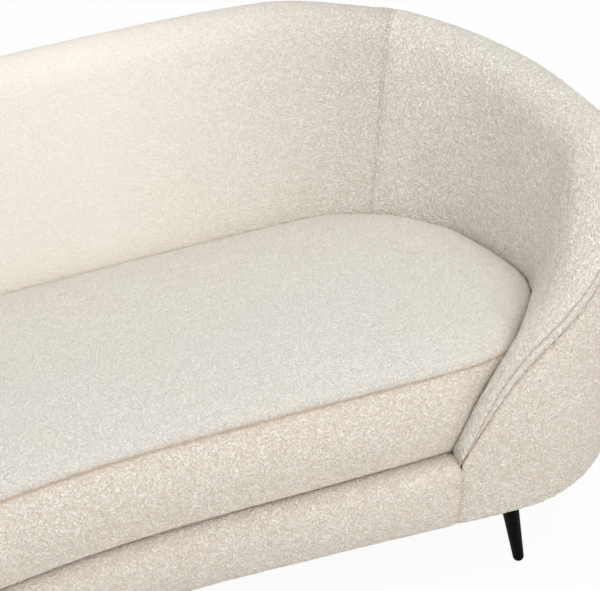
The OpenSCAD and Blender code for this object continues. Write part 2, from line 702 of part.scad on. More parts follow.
leg_front_left();
leg_front_right();
leg_rear_left();
leg_rear_right();
leg_plates();
leg_bolts();
plate_screws();
leg_block_front_left();
leg_block_front_right();
leg_block_rear_left();
leg_block_rear_right();
apron_board();
ledge_board();
front_rail();
rear_board();
end_board_left();
end_board_right();
cross_rail_outer_left();
cross_rail_inner_left();
cross_rail_inner_right();
cross_rail_outer_right();
rear_deck_rail();
end_deck_rail_left();
end_deck_rail_right();
seat_straps();
cross_straps();
back_rib_centre();
back_rib_left_1();
back_rib_left_2();
back_rib_right_1();
back_rib_right_2();
end_rib_left_1();
end_rib_left_2();
end_rib_right_1();
end_rib_right_2();
arm_rib_left_1();
arm_rib_left_2();
arm_rib_right_1();
arm_rib_right_2();
rim_rail_centre();
rim_rail_left();
rim_rail_right();
back_hessian();
seat_pad();
band_pad();
apron_pad();
back_pad();
wing_pad_left();
wing_pad_right();
seat_cover();
band_cover();
apron_cover();
inner_back_cover();
inner_wing_cover_left();
inner_wing_cover_right();
outer_back_cover();
side_cover_left();
side_cover_right();
dust_cover();
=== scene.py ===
import bisect
import math

import bmesh
import bpy
import numpy as np
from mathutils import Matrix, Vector, noise


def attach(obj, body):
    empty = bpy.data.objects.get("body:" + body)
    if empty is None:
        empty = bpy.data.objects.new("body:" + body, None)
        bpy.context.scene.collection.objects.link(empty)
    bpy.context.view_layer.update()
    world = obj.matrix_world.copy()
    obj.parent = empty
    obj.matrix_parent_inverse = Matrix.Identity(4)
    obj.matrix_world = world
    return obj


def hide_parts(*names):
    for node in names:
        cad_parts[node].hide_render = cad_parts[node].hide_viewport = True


# The looks of the curved sofa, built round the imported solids: every cushioned
# panel is laid out from the same named sizes as the solids, swelled by a cloth
# simulation between its seams, refined, and given its seams and its nap.
# Lengths are in metres. X runs along the length, Y to the back, Z up.

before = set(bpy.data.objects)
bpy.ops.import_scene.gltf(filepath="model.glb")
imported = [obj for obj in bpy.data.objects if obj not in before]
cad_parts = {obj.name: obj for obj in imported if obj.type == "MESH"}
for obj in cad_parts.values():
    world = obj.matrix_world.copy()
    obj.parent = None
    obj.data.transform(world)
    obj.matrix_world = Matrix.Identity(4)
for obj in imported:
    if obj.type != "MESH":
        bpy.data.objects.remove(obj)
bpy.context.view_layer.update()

# Overall sizes and plan
HALF_W = 1.086
DEPTH = 0.912
BACK_H = 0.800
LEG_H = 0.140
BACK_R = 9.0
END_R = 0.434
CORNER_R = 0.300
FRONT_SLOPE = math.radians(7.9)
HOLLOW_R = 2.1
ARM_TIP_X = 0.627

# Shell, seat and front
BACK_WALL = 0.236
RIM_R = 0.062
BACK_FLARE = 0.085
SIDE_BULGE = 0.020
SEAM_TURN = math.radians(38)
SEAT_SEAM_H = 0.430
CROWN_H = 0.462
BAND_INSET = 0.050
BAND_SWELL = 0.024
LEDGE_H = 0.277
DECK_H = 0.372
CLOTH_T = 0.003
DUST_T = 0.0015
EASE = 0.0003
HEM_R = CLOTH_T * 4
HEM_Z = LEG_H + DUST_T + EASE + HEM_R
NOSE_R = HEM_R * 17 / 6
NOSE_TIP_R = 0.018
NOSE_RUN = 0.15
FLANGE_W = 0.025
BOARD_T = 0.018
BLOCK_W = 0.026
PAD_SHARE = 0.5
SEAM_ANGLE = math.radians(10)
TUCK_SHARE = 0.2
DROP_SHARE = 0.15

# Gap between covers that touch, how far the nap stands proud at that distance from an
# edge, how much further from its seam an unstitched edge counts, and what refining takes
# off the height of the rim
TOUCH = 0.0002
LOFT = 0.002
LOFT_RUN = 0.030
SOFT = 0.004
RIM_FILL = 0.004

# What each size of the shell has, as shares, from the back middle to the arm tip;
# the rim rises by shares of the way from the ledge to the height of the back
SHELL_STATIONS = (0, 0.31, 0.45, 0.58, 0.67, 0.77, 0.85, 0.935, 0.967, 1)
RIM_RISES = (1, 0.997, 0.937, 0.892, 0.879, 0.825, 0.589, 0.375, 0.24, 0.044)
RIM_RADII = (1, 1, 0.97, 0.935, 0.89, 0.81, 0.71, 0.53, 0.44, 0.34)
RIM_INSETS = (0, 0, 0, 0, 0, 0.4, 0.9, 0.9, 0.45, 0.1)
FLARES = (1, 0.94, 0.76, 0.56, 0.47, 0.26, 0.25, 0.18, 0.17, 0.165)
BULGES = (0.6, 0.6, 0.65, 0.7, 0.75, 0.85, 1, 0.88, 0.5, 0.2)
SEAT_STATIONS = (0, 0.12, 0.24, 0.345, 0.45, 0.52, 0.60, 0.66,
                 0.70, 0.725, 0.745, 0.77, 0.84, 0.92, 1)
WALLS = (1, 1.013, 1.019, 1.017, 0.89, 0.727, 0.703, 0.665, 0.46, 0.17, 0.04, 0, 0, 0, 0)
BANDS = (0, 0, 0, 0, 0, 0, 0, 0, 0.37, 0.94, 1.21, 1.24, 1.046, 0.85, 0.83)
BAND_HEIGHTS = (0, 0.25, 0.5, 0.75, 1)
BAND_SWELLS = (1, 1.2, 1.25, 0.85, 0)
SWELL_STATIONS = (0.94, 0.968, 0.984, 1.005, 1.12)
SWELL_FADES = (0, 0.07, 0.38, 0.75, 1)

BACK_TURN = math.asin((HALF_W - END_R) / (BACK_R - END_R))
BACK_Y = DEPTH / 2 - BACK_R
END_C = (HALF_W - END_R, BACK_Y + (BACK_R - END_R) * math.cos(BACK_TURN))
CORNER_C = (HALF_W - CORNER_R, CORNER_R - DEPTH / 2)
SLOPE_START = (CORNER_C[0] - CORNER_R * math.sin(FRONT_SLOPE),
               CORNER_C[1] - CORNER_R * math.cos(FRONT_SLOPE))
SLOPE_L = (SLOPE_START[0] - HOLLOW_R * math.sin(FRONT_SLOPE)) / math.cos(FRONT_SLOPE)
SLOPE_END = (SLOPE_START[0] - SLOPE_L * math.cos(FRONT_SLOPE),
             SLOPE_START[1] + SLOPE_L * math.sin(FRONT_SLOPE))
HOLLOW_C = (SLOPE_END[0] - HOLLOW_R * math.sin(FRONT_SLOPE),
            SLOPE_END[1] - HOLLOW_R * math.cos(FRONT_SLOPE))
S_BACK = BACK_R * BACK_TURN
S_END = S_BACK + END_R * (math.pi / 2 - BACK_TURN)
S_SIDE = S_END + END_C[1] - CORNER_C[1]
S_CORNER = S_SIDE + CORNER_R * (math.pi / 2 + FRONT_SLOPE)
S_SLOPE = S_CORNER + SLOPE_L
S_MID = S_SLOPE + HOLLOW_R * FRONT_SLOPE
S_TIP = S_CORNER + (SLOPE_START[0] - ARM_TIP_X) / math.cos(FRONT_SLOPE)
S_SEAM = S_BACK + END_R * SEAM_TURN


def half_path(s):
    """Point and outward normal of the right half of the outline at station s."""
    if s < S_BACK:
        a, c, r = s / BACK_R, (0, BACK_Y), BACK_R
    elif s < S_END:
        a, c, r = BACK_TURN + (s - S_BACK) / END_R, END_C, END_R
    elif s < S_SIDE:
        return HALF_W, END_C[1] - (s - S_END), 1, 0
    elif s < S_CORNER:
        a, c, r = math.pi / 2 + (s - S_SIDE) / CORNER_R, CORNER_C, CORNER_R
    elif s < S_SLOPE:
        x = SLOPE_START[0] - (s - S_CORNER) * math.cos(FRONT_SLOPE)
        y = SLOPE_START[1] + (s - S_CORNER) * math.sin(FRONT_SLOPE)
        return x, y, -math.sin(FRONT_SLOPE), -math.cos(FRONT_SLOPE)
    else:
        a = FRONT_SLOPE - (s - S_SLOPE) / HOLLOW_R
        x = HOLLOW_C[0] + HOLLOW_R * math.sin(a)
        y = HOLLOW_C[1] + HOLLOW_R * math.cos(a)
        return x, y, -math.sin(a), -math.cos(a)
    return c[0] + r * math.sin(a), c[1] + r * math.cos(a), math.sin(a), math.cos(a)


def half_station(s):
    return 2 * S_MID - abs(s) if abs(s) > S_MID else abs(s)


def at(s, o, z):
    """Point at station s, moved outward by o and up to z. Left stations are negative."""
    x, y, nx, ny = half_path(half_station(s))
    side = (-1 if s < 0 else 1) * (-1 if abs(s) > S_MID else 1)
    return side * (x + o * nx), y + o * ny, z


def smooth(places, values, x):
    """Smooth curve through the values at those places."""
    q = min(max(x, places[0]), places[-1])
    i = min(bisect.bisect_right(places, q) - 1, len(places) - 2)

    def tangent(j):
        a, b = max(j - 1, 0), min(j + 1, len(places) - 1)
        return 0 if j == 0 else (values[b] - values[a]) / (places[b] - places[a])

    h = places[i + 1] - places[i]
    u = (q - places[i]) / h
    return (values[i] * (1 + u * u * (2 * u - 3)) + values[i + 1] * u * u * (3 - 2 * u)
            + h * u * (1 - u) * (tangent(i) * (1 - u) - tangent(i + 1) * u))


def mix(a, b, t):
    return a + (b - a) * t


def spread(a, b, n):
    return [mix(a, b, i / n) for i in range(n + 1)]


def shell_size(shares, s):
    return smooth(SHELL_STATIONS, shares, half_station(s) / S_TIP)


def flare(s):
    return BACK_FLARE * shell_size(FLARES, s)


def seat_inset(s):
    q = half_station(s) / S_MID
    return (BACK_WALL * smooth(SEAT_STATIONS, WALLS, q)
            + BAND_INSET * smooth(SEAT_STATIONS, BANDS, q))


def band_face(s, z):
    v = (z - LEDGE_H) / (SEAT_SEAM_H - LEDGE_H)
    fade = smooth(SWELL_STATIONS, SWELL_FADES, half_station(s) / S_TIP)
    return seat_inset(s) - BAND_SWELL * smooth(BAND_HEIGHTS, BAND_SWELLS, v) * fade


class Section:
    """Section of the shell at a station, in outward distance and height."""

    def __init__(self, s):
        full_r = RIM_R * shell_size(RIM_RADII, s)
        inset = SIDE_BULGE * shell_size(RIM_INSETS, s)
        top = mix(LEDGE_H, BACK_H + RIM_FILL, shell_size(RIM_RISES, s))
        room = band_face(s, min(SEAT_SEAM_H, top - full_r)) - inset - TOUCH
        self.r = min(full_r, room / 2)
        self.c = np.array((-self.r - inset, top - self.r))
        foot_z = min(SEAT_SEAM_H, self.c[1] - self.r * DROP_SHARE)
        self.foot = np.array((TOUCH - band_face(s, foot_z), foot_z))
        tuck_z = foot_z - self.r * TUCK_SHARE
        self.tuck = np.array((TOUCH - band_face(s, tuck_z), tuck_z))
        self.low = np.array((-flare(s) - HEM_R, HEM_Z))
        v, w = self.foot - self.c, self.c - self.low
        self.a_in = (math.atan2(v[1], v[0]) % math.tau
                     - math.acos(min(1, self.r / math.hypot(*v))))
        self.a_out = math.atan2(w[1], w[0]) - math.acos((HEM_R - self.r) / math.hypot(*w))
        self.bulge = SIDE_BULGE * shell_size(BULGES, s)
        self.seam_u = 1 + (self.a_in - SEAM_ANGLE) / (self.a_in - self.a_out)


def nose_radius(s):
    """Radius of the apron's nose: it gets tighter towards the arm tips."""
    clear = min(1, (half_station(s) - S_TIP) / NOSE_RUN)
    return mix(NOSE_TIP_R, NOSE_R, clear * clear * (3 - 2 * clear))


class ApronSection:
    """Section of the apron: a level ledge, a nose, the face and the hem."""

    def __init__(self, s):
        self.r = nose_radius(s)
        near_tip = 1 - min(1, (half_station(s) - S_TIP) / LOFT_RUN)
        top = LEDGE_H - LOFT * (1 - near_tip ** 2)
        self.c = np.array((-self.r, top - self.r))
        self.foot = np.array((-flare(s) - HEM_R - BOARD_T - BLOCK_W, top))
        self.low = np.array((-flare(s) - HEM_R, HEM_Z))
        w = self.c - self.low
        self.a_in = math.pi / 2
        self.a_out = math.atan2(w[1], w[0]) - math.acos((HEM_R - self.r) / math.hypot(*w))
        self.bulge = SIDE_BULGE / 4


def direction(a):
    return np.array((math.cos(a), math.sin(a)))


def shell_point(k, u, d):
    """Point of a section: u below 0 on the tuck, to 1 on the inner face, to 2 round
    the rim, to 3 down the outer face, to 4 round the hem, to 5 under the body, at a
    depth d."""
    n_in, n_out = direction(k.a_in), direction(k.a_out)
    if u < 0:
        return mix(k.foot, k.tuck, -u) - d * n_in
    if u < 1:
        return mix(k.foot, k.c + k.r * n_in, u) - d * n_in
    if u <= 2:
        return k.c + (k.r - d) * direction(mix(k.a_in, k.a_out, u - 1))
    if u <= 3:
        t = u - 2
        return (mix(k.c + k.r * n_out, k.low + HEM_R * n_out, t)
                + (k.bulge * 4 * t * (1 - t) - d) * n_out)
    if u <= 4:
        return k.low + (HEM_R - d) * direction(mix(k.a_out, -math.pi / 2, u - 3))
    return k.low + np.array(((4 - u) * FLANGE_W, d - HEM_R))


# Building of meshes. A mark of FAR is on what is out of sight, and INSIDE is far from any
# edge but in sight.

FAR = 100.0
INSIDE = 0.3
MARKS = ("edge", "rim", "felled", "joint")


class Skin:
    """A mesh under construction. Its marks are kept on the vertices: edge, rim and joint
    are distances to an edge of the panel, to the seam under the rim and to a stitched
    seam, and felled is how far from the rim seam its second line of stitches runs."""

    def __init__(self):
        self.points, self.faces, self.held, self.border = [], [], [], []
        self.marks = {mark: [] for mark in MARKS}

    def row(self, points, held, border=False, **marks):
        """Adds vertices. Each other value is one, or one for each vertex."""
        first = len(self.points)
        self.points += [tuple(p) for p in points]
        n = len(self.points) - first
        self.held += [bool(x) for x in np.broadcast_to(held, n)]
        self.border += [bool(x) for x in np.broadcast_to(border, n)]
        for mark in MARKS:
            self.marks[mark] += [float(x) for x in np.broadcast_to(marks.get(mark, FAR), n)]
        return list(range(first, first + n))

    def bridge(self, a, b, closed=False):
        """Quads between two rows of the same length."""
        n = len(a)
        for i in range(n if closed else n - 1):
            j = (i + 1) % n
            self.faces.append((a[i], a[j], b[j], b[i]))

    def tube(self, rows):
        """Joins closed rows one after the other, and closes both ends."""
        for a, b in zip(rows, rows[1:]):
            self.bridge(b, a, closed=True)
        self.faces.append(tuple(rows[0]))
        self.faces.append(tuple(reversed(rows[-1])))

    def build(self, name):
        mesh = bpy.data.meshes.new(name)
        mesh.from_pydata(self.points, [], self.faces)
        for mark, values in self.marks.items():
            mesh.attributes.new(mark, "FLOAT", "POINT").data.foreach_set("value", values)
        work = bmesh.new()
        work.from_mesh(mesh)
        bmesh.ops.recalc_face_normals(work, faces=work.faces)
        work.to_mesh(mesh)
        work.free()
        sharp = [float(all(self.border[i] for i in e.vertices)) for e in mesh.edges]
        mesh.attributes.new("crease_edge", "FLOAT", "EDGE").data.foreach_set("value", sharp)
        mesh.update()
        obj = bpy.data.objects.new(name, mesh)
        bpy.context.scene.collection.objects.link(obj)
        return obj


def along(points, places):
    """Points on a polyline at those distances from its start."""
    points = np.array(points)
    steps = np.r_[0, np.cumsum(np.linalg.norm(np.diff(points, axis=0), axis=1))]
    return np.stack([np.interp(places, steps, points[:, k]) for k in range(2)], 1)


def run_length(points):
    return float(np.linalg.norm(np.diff(np.array(points), axis=0), axis=1).sum())


# Where rows lie close together beside a seam, an edge and the hem
NEAR_SEAM = (0, 0.002, 0.0045, 0.007, 0.0095, 0.013, 0.017, 0.0205, 0.025, 0.033)
NEAR_EDGE = (0, 0.003, 0.008, 0.016, 0.026)
NEAR_HEM = (0, 0.010, 0.020, 0.026, 0.031, 0.036, 0.041, 0.047, 0.058)
CELL = 0.018
STEP_SHARE = 0.35
CURVE_STEPS = 90
BACK_STEPS = 4


def near_rows(length, count, start=None, end=None):
    """Distances along a strip of that length, closer together beside the ends that have
    near places given, and always the same number of rows."""
    def near(places):
        return [x * min(1, length * STEP_SHARE / places[-1]) for x in places] if places else [0]
    head, tail = near(start), [length - x for x in reversed(near(end))]
    return head + spread(head[-1], tail[0], count)[1:-1] + tail


def near_stations(a, b, start, end):
    return [a + x for x in near_rows(b - a, max(4, round((b - a) / CELL)), start, end)]


class Panel:
    """A strip of cloth that runs along the outline, as a closed skin.

    ends(k) gives the first and last u of its face in a section, and depth(k) how thick
    it is in the middle. rim says which end of the face is at the rim seam, 0 or 1, and
    joint whether its first or last station is the stitched seam, 0 or 1. felled(s) gives
    the width of the felled strip, and plug(s, k, back) reshapes the hidden side."""

    def __init__(self, stations, section, ends, rows, depth, rim=None, joint=None,
                 rim_near=NEAR_SEAM, felled=None, plug=None, low_near=NEAR_EDGE):
        self.stations, self.section, self.ends = stations, section, ends
        self.rows, self.depth, self.rim, self.joint = rows, depth, rim, joint
        self.rim_near, self.felled, self.plug = rim_near, felled, plug
        self.low_near = low_near

    def skin(self):
        skin, rows = Skin(), []
        near = [self.rim_near if self.rim == i else (NEAR_EDGE, self.low_near)[i] for i in (0, 1)]
        for s in self.stations:
            k = self.section(s)
            u0, u1 = self.ends(k)
            curve = [shell_point(k, u, 0) for u in spread(u0, u1, CURVE_STEPS)]
            length = run_length(curve)
            places = near_rows(length, self.rows, *near)
            sides = (s - self.stations[0], self.stations[-1] - s)
            at_end = 0 in sides
            soft = [0 if self.rim == i else SOFT for i in (0, 1)]
            side = min(sides) + (SOFT if self.felled else SOFT / 2)
            marks = {"edge": [min(x + soft[0], length - x + soft[1], side) for x in places]}
            if self.rim is not None:
                marks["rim"] = [x if self.rim == 0 else length - x for x in places]
            if self.joint is not None:
                marks["joint"] = sides[self.joint]
            if self.felled:
                marks["felled"] = self.felled(s)
            outer = [x in (0, len(places) - 1) or at_end for x in range(len(places))]
            front = skin.row([at(s, *p) for p in along(curve, places)], outer, outer, **marks)
            back = [shell_point(k, mix(u1, u0, t),
                                CLOTH_T + self.depth(k) * math.sin(math.pi * t) ** 0.5)
                    for t in spread(0, 1, BACK_STEPS)]
            if self.plug:
                back = self.plug(s, k, back)
            rows.append(front + skin.row([at(s, *p) for p in back], True, at_end))
        skin.tube(rows)
        return skin


# Simulation, refinement and nap

SIM_FRAMES = 20
CLOTH_SETTINGS = {
    "quality": 6, "mass": 0.3, "tension_stiffness": 15, "compression_stiffness": 15,
    "bending_stiffness": 0.8, "vertex_group_mass": "held", "use_pressure": True,
    "shrink_min": -0.004}
SOFTENING = 12
SOFTEN_SHARE = 0.7
CALM_W = 0.05


def softened(obj, moved, held):
    """The movement with its short wrinkles taken out: each free vertex takes the mean of
    its neighbours a few times."""
    edges = np.empty(len(obj.data.edges) * 2, int)
    obj.data.edges.foreach_get("vertices", edges)
    a, b = edges.reshape(-1, 2).T
    count = np.bincount(np.r_[a, b], minlength=len(moved))[:, None]
    free = ~np.array(held)[:, None]
    for _ in range(SOFTENING):
        around = np.zeros_like(moved)
        np.add.at(around, a, moved[b])
        np.add.at(around, b, moved[a])
        moved = np.where(free, mix(moved, around / count, SOFTEN_SHARE), moved)
    return moved


def swell(obj, skin, pressure, cap):
    """Blows the cloth between its held vertices up a little, by a cloth simulation. What
    is within a calm strip along the edges moves less."""
    held = skin.held
    scene = bpy.context.scene
    pins = obj.vertex_groups.new(name="held")
    pins.add([i for i, h in enumerate(held) if h], 1.0, "REPLACE")
    rest = np.array([v.co for v in obj.data.vertices])
    cloth = obj.modifiers.new("swell", "CLOTH")
    for key, value in CLOTH_SETTINGS.items():
        setattr(cloth.settings, key, value)
    cloth.settings.uniform_pressure_force = pressure
    cloth.settings.effector_weights.gravity = 0
    cloth.collision_settings.use_collision = False
    cloth.point_cache.frame_start, cloth.point_cache.frame_end = 1, SIM_FRAMES
    for f in range(1, SIM_FRAMES + 1):
        scene.frame_set(f)
    shown = obj.evaluated_get(bpy.context.evaluated_depsgraph_get())
    moved = np.array([v.co for v in shown.data.vertices]) - rest
    far = np.linalg.norm(moved, axis=1)
    moved *= (np.minimum(far, cap) / np.maximum(far, 1e-9))[:, None]
    calm = np.clip(np.array(skin.marks["edge"]) / CALM_W, 0, 1)
    moved = softened(obj, moved, held) * (calm * calm * (3 - 2 * calm))[:, None]
    print(f"{obj.name}: the cloth moved {far.max() * 1000:.1f} mm at most")
    obj.modifiers.remove(cloth)
    obj.vertex_groups.clear()
    scene.frame_set(1)
    obj.data.vertices.foreach_set("co", (rest + moved).ravel())
    obj.data.update()


def refine(obj, levels):
    """Subdivides the mesh for good."""
    sub = obj.modifiers.new("refine", "SUBSURF")
    sub.levels = sub.render_levels = levels
    graph = bpy.context.evaluated_depsgraph_get()
    fine = bpy.data.meshes.new_from_object(
        obj.evaluated_get(graph), preserve_all_data_layers=True, depsgraph=graph)
    coarse = obj.data
    obj.modifiers.clear()
    obj.data = fine
    fine.name = obj.name
    bpy.data.meshes.remove(coarse)
    fine.shade_smooth()


def waves(points, size, seed):
    """Smooth noise from -1 to 1 at the points, with waves of that size."""
    shift = Vector((seed, 1.7 * seed, 2.3 * seed))
    return np.array([noise.noise(Vector(p) + shift) for p in points / size])


def curls(points, size):
    """Height from 0 to 1 of winding ridges of that size."""
    return 1 - np.minimum(1, 3 * np.abs(waves(points, size, 5)))


def read_mesh(mesh):
    n = len(mesh.vertices)
    co = np.empty(n * 3)
    mesh.vertices.foreach_get("co", co)
    values = {}
    for mark in MARKS:
        values[mark] = np.empty(n)
        mesh.attributes[mark].data.foreach_get("value", values[mark])
    return co.reshape(-1, 3), values


def face_normals_at_vertices(mesh, shown):
    """Normal of each vertex, from the faces of the shown side only where it has any."""
    sizes = np.empty(len(mesh.polygons), int)
    mesh.polygons.foreach_get("loop_total", sizes)
    normals, areas = np.empty(len(sizes) * 3), np.empty(len(sizes))
    mesh.polygons.foreach_get("normal", normals)
    mesh.polygons.foreach_get("area", areas)
    corners = np.empty(sizes.sum(), int)
    mesh.loops.foreach_get("vertex_index", corners)
    face_of = np.repeat(np.arange(len(sizes)), sizes)
    is_shown = np.bincount(face_of, weights=~shown[corners]) == 0
    weighted = normals.reshape(-1, 3) * areas[:, None]
    n = len(mesh.vertices)
    total, front = np.zeros((n, 3)), np.zeros((n, 3))
    for k in range(3):
        part = weighted[:, k]
        total[:, k] = np.bincount(corners, weights=part[face_of], minlength=n)
        front[:, k] = np.bincount(corners, weights=(part * is_shown)[face_of], minlength=n)
    lengths = np.linalg.norm(front, axis=1, keepdims=True)
    picked = np.where(lengths > 0, front, total)
    return picked / np.maximum(np.linalg.norm(picked, axis=1, keepdims=True), 1e-12)


def bell(x, centre, width):
    return np.exp(-((x - centre) / width) ** 2)


# Depths and half widths of the lines at an edge, beside the stitched seam and beside the
# rim seam; the depth at which a crease gets its full painted shade
EDGE_LINES = ((0.0014, 0.0016), (0.0010, 0.0060))
JOINT_AT, JOINT_DEPTH, JOINT_W = 0.0075, 0.0010, 0.0014
FELLED_DEPTH, FELLED_LINE_W = 0.0018, 0.0022
FELLED_DROP, FELLED_BLUR = 0.0010, 0.0012
CREASE_SHADE_FULL = 0.0026
# Height, size and seed of the waves in a seam; size, in widths of a curl, and seed of the
# unevenness of the nap; how far from an edge the nap has its full height
WOBBLES = ((0.0010, 0.016, 7), (0.0006, 0.006, 8))
UNEVEN = ((0.5, 9), (7, 3))
EDGE_CLEAR = 0.006


def seam_lines(v, wobble):
    """How far the seams pull the cloth in: a roll at each edge, and a line of stitches
    beside the stitched seam and the rim seam."""
    edge, rim, joint = (v[m] + wobble for m in ("edge", "rim", "joint"))
    lines = sum(depth * bell(edge, 0, width) for depth, width in EDGE_LINES)
    lines += JOINT_DEPTH * bell(joint, JOINT_AT, JOINT_W)
    return lines + FELLED_DEPTH * bell(rim, v["felled"], FELLED_LINE_W) * (v["felled"] < 1)


def felled_step(v):
    """How much lower the strip between the rim seam and its stitches lies."""
    step = 1 / (1 + np.exp(np.clip((v["rim"] - v["felled"]) / FELLED_BLUR, -50, 50)))
    return FELLED_DROP * step * (v["felled"] < 1)


def dress(obj, nap):
    """Moves each vertex in sight along its normal: down into the seams, and up by the
    loft of the cloth and its nap, which is given by size and height."""
    mesh = obj.data
    co, v = read_mesh(mesh)
    normal = face_normals_at_vertices(mesh, v["edge"] < 1)
    size, height = nap
    shown = v["edge"] < 1
    clear = np.clip(v["edge"] / EDGE_CLEAR, 0, 1) * shown
    away = np.clip(v["edge"] / LOFT_RUN, 0, 1)
    uneven = sum(waves(co, size * wide, seed) for wide, seed in UNEVEN)
    rise = clear * height * (curls(co, size) - 0.5 + uneven)
    rise += LOFT * (1 - (1 - away) ** 2) * shown
    lines = seam_lines(v, sum(h * waves(co, wide, seed) for h, wide, seed in WOBBLES))
    rise -= lines + felled_step(v)
    mesh.vertices.foreach_set("co", (co + rise[:, None] * normal).ravel())
    # Mask of painted shade: the deeper the seam lines pull in, the browner the material paints the
    # cloth there
    crease_shade = np.clip(lines / CREASE_SHADE_FULL, 0, 1)
    mesh.attributes.new("crease_shade", "FLOAT", "POINT").data.foreach_set("value", crease_shade)
    for mark in MARKS:
        mesh.attributes.remove(mesh.attributes[mark])
    mesh.update()


# Materials

# The nap goes from calm to lively between these distances from the middle; the tone of
# calm cloth, as a share from hollow to tip
CALM_SPAN = (0.30, 0.92)
CALM_TONE = 0.70
# Colour and greatest share of the painted shade in the creases, and of the warm patches
CREASE_SHADE_TINT, CREASE_SHADE_SHARE = (190, 160, 132), 0.8
PATCH_TINT, PATCH_SHARE = (226, 214, 194), 0.10
# The noises of looped cloth: cycles in the width of a loop, and shares of the height
RIDGE_SCALE, TUFT_SCALE, FIBRE_SCALE = 0.62, 1.15, 3.4
RIDGE_SHARE, TUFT_SHARE, FIBRE_SHARE = 0.45, 0.5, 0.35
RIDGE_W = 0.12
HEIGHTS = (0.25, 0.9)
# Where a noise has nearly all its values
MOST = (0.3, 0.7)


class Nodes:
    """Short names for making a node tree."""

    def __init__(self, name):
        self.material = bpy.data.materials.new(name)
        self.material.use_nodes = True
        self.tree = self.material.node_tree
        self.shader = self.tree.nodes["Principled BSDF"]
        self.place = self.add("ShaderNodeTexCoord").outputs["Object"]

    def add(self, kind, inputs=(), **settings):
        node = self.tree.nodes.new(kind)
        for key, value in settings.items():
            setattr(node, key, value)
        for key, value in dict(inputs).items():
            self.plug(node.inputs[key], value)
        return node

    def plug(self, socket, value):
        if isinstance(value, bpy.types.NodeSocket):
            self.tree.links.new(value, socket)
        else:
            socket.default_value = value

    def noise(self, scale, detail=2.0, roughness=0.5, distortion=0.0, vector=None):
        return self.add("ShaderNodeTexNoise", {
            "Vector": vector or self.place, "Scale": scale, "Detail": detail,
            "Roughness": roughness, "Distortion": distortion}).outputs["Fac"]

    def stretched(self, scale):
        """The place, with each axis scaled: a small scale draws a noise out along it."""
        return self.add("ShaderNodeMapping", {"Vector": self.place, "Scale": scale}).outputs[0]

    def math(self, operation, *values):
        node = self.add("ShaderNodeMath", operation=operation)
        for socket, value in zip(node.inputs, values):
            self.plug(socket, value)
        return node.outputs[0]

    def span(self, value, low, high, to_low=0.0, to_high=1.0):
        return self.add("ShaderNodeMapRange", {
            "Value": value, "From Min": low, "From Max": high,
            "To Min": to_low, "To Max": to_high}).outputs[0]

    def blend(self, share, a, b):
        node = self.add("ShaderNodeMix", data_type="RGBA")
        self.plug(node.inputs[0], share)
        self.plug(node.inputs[6], a)
        self.plug(node.inputs[7], b)
        return node.outputs[2]

    def bump(self, height, strength, distance):
        normal = self.add("ShaderNodeBump", {
            "Height": height, "Strength": strength, "Distance": distance}).outputs[0]
        self.plug(self.shader.inputs["Normal"], normal)

    def set(self, **values):
        for key, value in values.items():
            self.plug(self.shader.inputs[key.replace("_", " ")], value)


def colour(r, g, b):
    """A colour given as it shows on a screen, from 0 to 255, as the shader wants it."""
    return tuple(((c / 255 + 0.055) / 1.055) ** 2.4 if c > 10 else c / 255 / 12.92
                 for c in (r, g, b)) + (1.0,)


def looped_cloth(name, curl, tip, hollow, relief, calm=1.0):
    """Cream looped wool cloth: curl is the width of a loop, relief its height. Loops are
    short ridges, where a bent noise passes its middle value, over rounded tufts. The nap
    is worn flatter towards the middle of the length, where calm is its share."""
    n = Nodes(name)
    field = n.noise(RIDGE_SCALE / curl, detail=1.0, distortion=0.7)
    off_middle = n.math("ABSOLUTE", n.math("SUBTRACT", field, 0.5))
    ridges = n.span(off_middle, 0.0, RIDGE_W, 1.0, 0.0)
    tufts = n.span(n.noise(TUFT_SCALE / curl, detail=1.0, distortion=0.5), *MOST)
    fibres = n.noise(FIBRE_SCALE / curl, roughness=0.65, distortion=0.6)
    height = n.math("ADD", n.math("MULTIPLY", ridges, RIDGE_SHARE),
                    n.math("MULTIPLY", tufts, TUFT_SHARE))
    height = n.math("ADD", height, n.math("MULTIPLY", fibres, FIBRE_SHARE))
    across = n.math("ABSOLUTE", n.add("ShaderNodeSeparateXYZ", {0: n.place}).outputs[0])
    lively = n.span(across, *CALM_SPAN, calm, 1.0)
    share = n.math("MULTIPLY_ADD", n.span(height, *HEIGHTS), lively,
                   n.math("MULTIPLY", n.math("SUBTRACT", 1.0, lively), CALM_TONE))
    base = n.blend(share, colour(*hollow), colour(*tip))
    patches = n.span(n.noise(5.0, detail=3.0), 0.35, 0.65, 0.0, PATCH_SHARE)
    warm = n.blend(patches, base, colour(*PATCH_TINT))
    # Painted shade: the seams are tinted brown as far as they are pulled in
    crease_shade = n.add("ShaderNodeAttribute", attribute_name="crease_shade").outputs["Fac"]
    crease_shaded = n.math("MULTIPLY", crease_shade, CREASE_SHADE_SHARE)
    n.set(Base_Color=n.blend(crease_shaded, warm, colour(*CREASE_SHADE_TINT)),
          Roughness=0.95, Sheen_Weight=0.05, Sheen_Roughness=0.6, Specular_IOR_Level=0.06)
    n.bump(height, lively, relief)
    return n.material


def lacquered_wood():
    """Nearly black satin lacquer over turned wood."""
    n = Nodes("leg_lacquer")
    stretched = n.stretched((1, 1, 0.08))
    grain = n.noise(320, detail=3.0, roughness=0.6, distortion=0.4, vector=stretched)
    wear = n.noise(60, detail=3.0, roughness=0.6)
    n.set(Base_Color=n.blend(n.span(grain, 0.35, 0.7), colour(5, 3, 2), colour(15, 9, 6)),
          Roughness=n.span(wear, *MOST, 0.38, 0.52), Specular_IOR_Level=0.035)
    n.bump(grain, strength=0.2, distance=0.0003)
    return n.material


